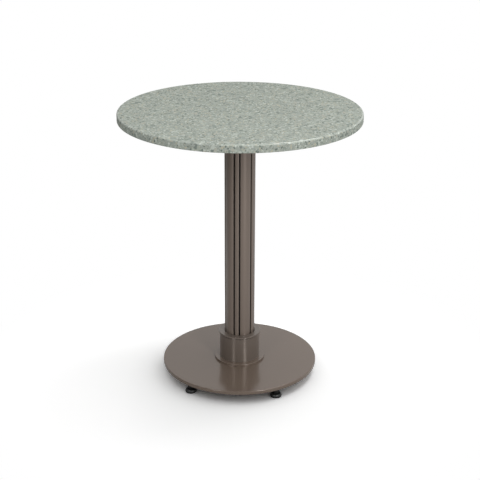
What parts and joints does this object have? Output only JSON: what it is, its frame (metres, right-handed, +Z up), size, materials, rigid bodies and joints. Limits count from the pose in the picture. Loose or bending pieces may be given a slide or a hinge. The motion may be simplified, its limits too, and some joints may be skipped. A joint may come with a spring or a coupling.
{
  "type": "pedestal table",
  "caption": "Round terrazzo pedestal table with a fluted metal column, a collar and a flat round base on levelling glides.",
  "frame": {"origin": "on the floor, under the middle of the column", "axes": "+Z up along the column; the pictured side faces -Y, with +X to its right"},
  "size_m": [0.6, 0.5999, 0.7],
  "materials": {
    "terrazzo": "honed, sealed",
    "bronze_extrusion": "satin bronze-brown coat",
    "bronze_steel": "satin bronze-brown coat",
    "black_casting": "fine-textured black powder coat",
    "zinc_steel": "bright zinc",
    "black_steel": "black oxide",
    "brass": "machined",
    "black_polyamide": "moulded"
  },
  "bodies": {
    "root": {"terrazzo_top": "terrazzo", "top_inserts": "brass", "top_screws": "zinc_steel", "top_screw_washers": "zinc_steel", "top_spider": "black_casting", "fluted_column": "bronze_extrusion", "tie_rod": "zinc_steel", "tie_rod_top_washer": "zinc_steel", "tie_rod_top_nut": "zinc_steel", "tie_rod_bottom_washer": "zinc_steel", "tie_rod_bottom_nut": "zinc_steel", "collar_cap": "bronze_steel", "collar_tube": "bronze_steel", "collar_flange": "bronze_steel", "column_spigot": "zinc_steel", "base_plate": "bronze_steel", "flange_screws": "zinc_steel", "glide_bush_1": "black_steel", "glide_bush_2": "black_steel", "glide_bush_3": "black_steel", "glide_bush_4": "black_steel", "glide_bush_5": "black_steel"},
    "glide_1_foot": {"glide_pad_1": "black_polyamide"},
    "glide_1_stud": {"glide_screw_1": "black_steel"},
    "glide_2_foot": {"glide_pad_2": "black_polyamide"},
    "glide_2_stud": {"glide_screw_2": "black_steel"},
    "glide_3_foot": {"glide_pad_3": "black_polyamide"},
    "glide_3_stud": {"glide_screw_3": "black_steel"},
    "glide_4_foot": {"glide_pad_4": "black_polyamide"},
    "glide_4_stud": {"glide_screw_4": "black_steel"},
    "glide_5_foot": {"glide_pad_5": "black_polyamide"},
    "glide_5_stud": {"glide_screw_5": "black_steel"}
  },
  "joints": [
    {"name": "glide_1_travel", "type": "slide", "parent": "root", "child": "glide_1_foot", "axis": [0, 0, -1], "range_m": [0, 0.008]},
    {"name": "glide_1_turn", "type": "hinge", "parent": "glide_1_foot", "child": "glide_1_stud", "pos_m": [0.17998, 0.03826, 0.014], "axis": [0, 0, -1], "range_deg": [0, 2304]},
    {"name": "glide_2_travel", "type": "slide", "parent": "root", "child": "glide_2_foot", "axis": [0, 0, -1], "range_m": [0, 0.008]},
    {"name": "glide_2_turn", "type": "hinge", "parent": "glide_2_foot", "child": "glide_2_stud", "pos_m": [0.01923, 0.18299, 0.014], "axis": [0, 0, -1], "range_deg": [0, 2304]},
    {"name": "glide_3_travel", "type": "slide", "parent": "root", "child": "glide_3_foot", "axis": [0, 0, -1], "range_m": [0, 0.008]},
    {"name": "glide_3_turn", "type": "hinge", "parent": "glide_3_foot", "child": "glide_3_stud", "pos_m": [-0.16809, 0.07484, 0.014], "axis": [0, 0, -1], "range_deg": [0, 2304]},
    {"name": "glide_4_travel", "type": "slide", "parent": "root", "child": "glide_4_foot", "axis": [0, 0, -1], "range_m": [0, 0.008]},
    {"name": "glide_4_turn", "type": "hinge", "parent": "glide_4_foot", "child": "glide_4_stud", "pos_m": [-0.12312, -0.13674, 0.014], "axis": [0, 0, -1], "range_deg": [0, 2304]},
    {"name": "glide_5_travel", "type": "slide", "parent": "root", "child": "glide_5_foot", "axis": [0, 0, -1], "range_m": [0, 0.008]},
    {"name": "glide_5_turn", "type": "hinge", "parent": "glide_5_foot", "child": "glide_5_stud", "pos_m": [0.092, -0.15935, 0.014], "axis": [0, 0, -1], "range_deg": [0, 2304]}
  ],
  "couplings": [
    {"joint": "glide_1_travel", "follows": "glide_1_turn", "m_per_rad": 0.00019894},
    {"joint": "glide_2_travel", "follows": "glide_2_turn", "m_per_rad": 0.00019894},
    {"joint": "glide_3_travel", "follows": "glide_3_turn", "m_per_rad": 0.00019894},
    {"joint": "glide_4_travel", "follows": "glide_4_turn", "m_per_rad": 0.00019894},
    {"joint": "glide_5_travel", "follows": "glide_5_turn", "m_per_rad": 0.00019894}
  ]
}
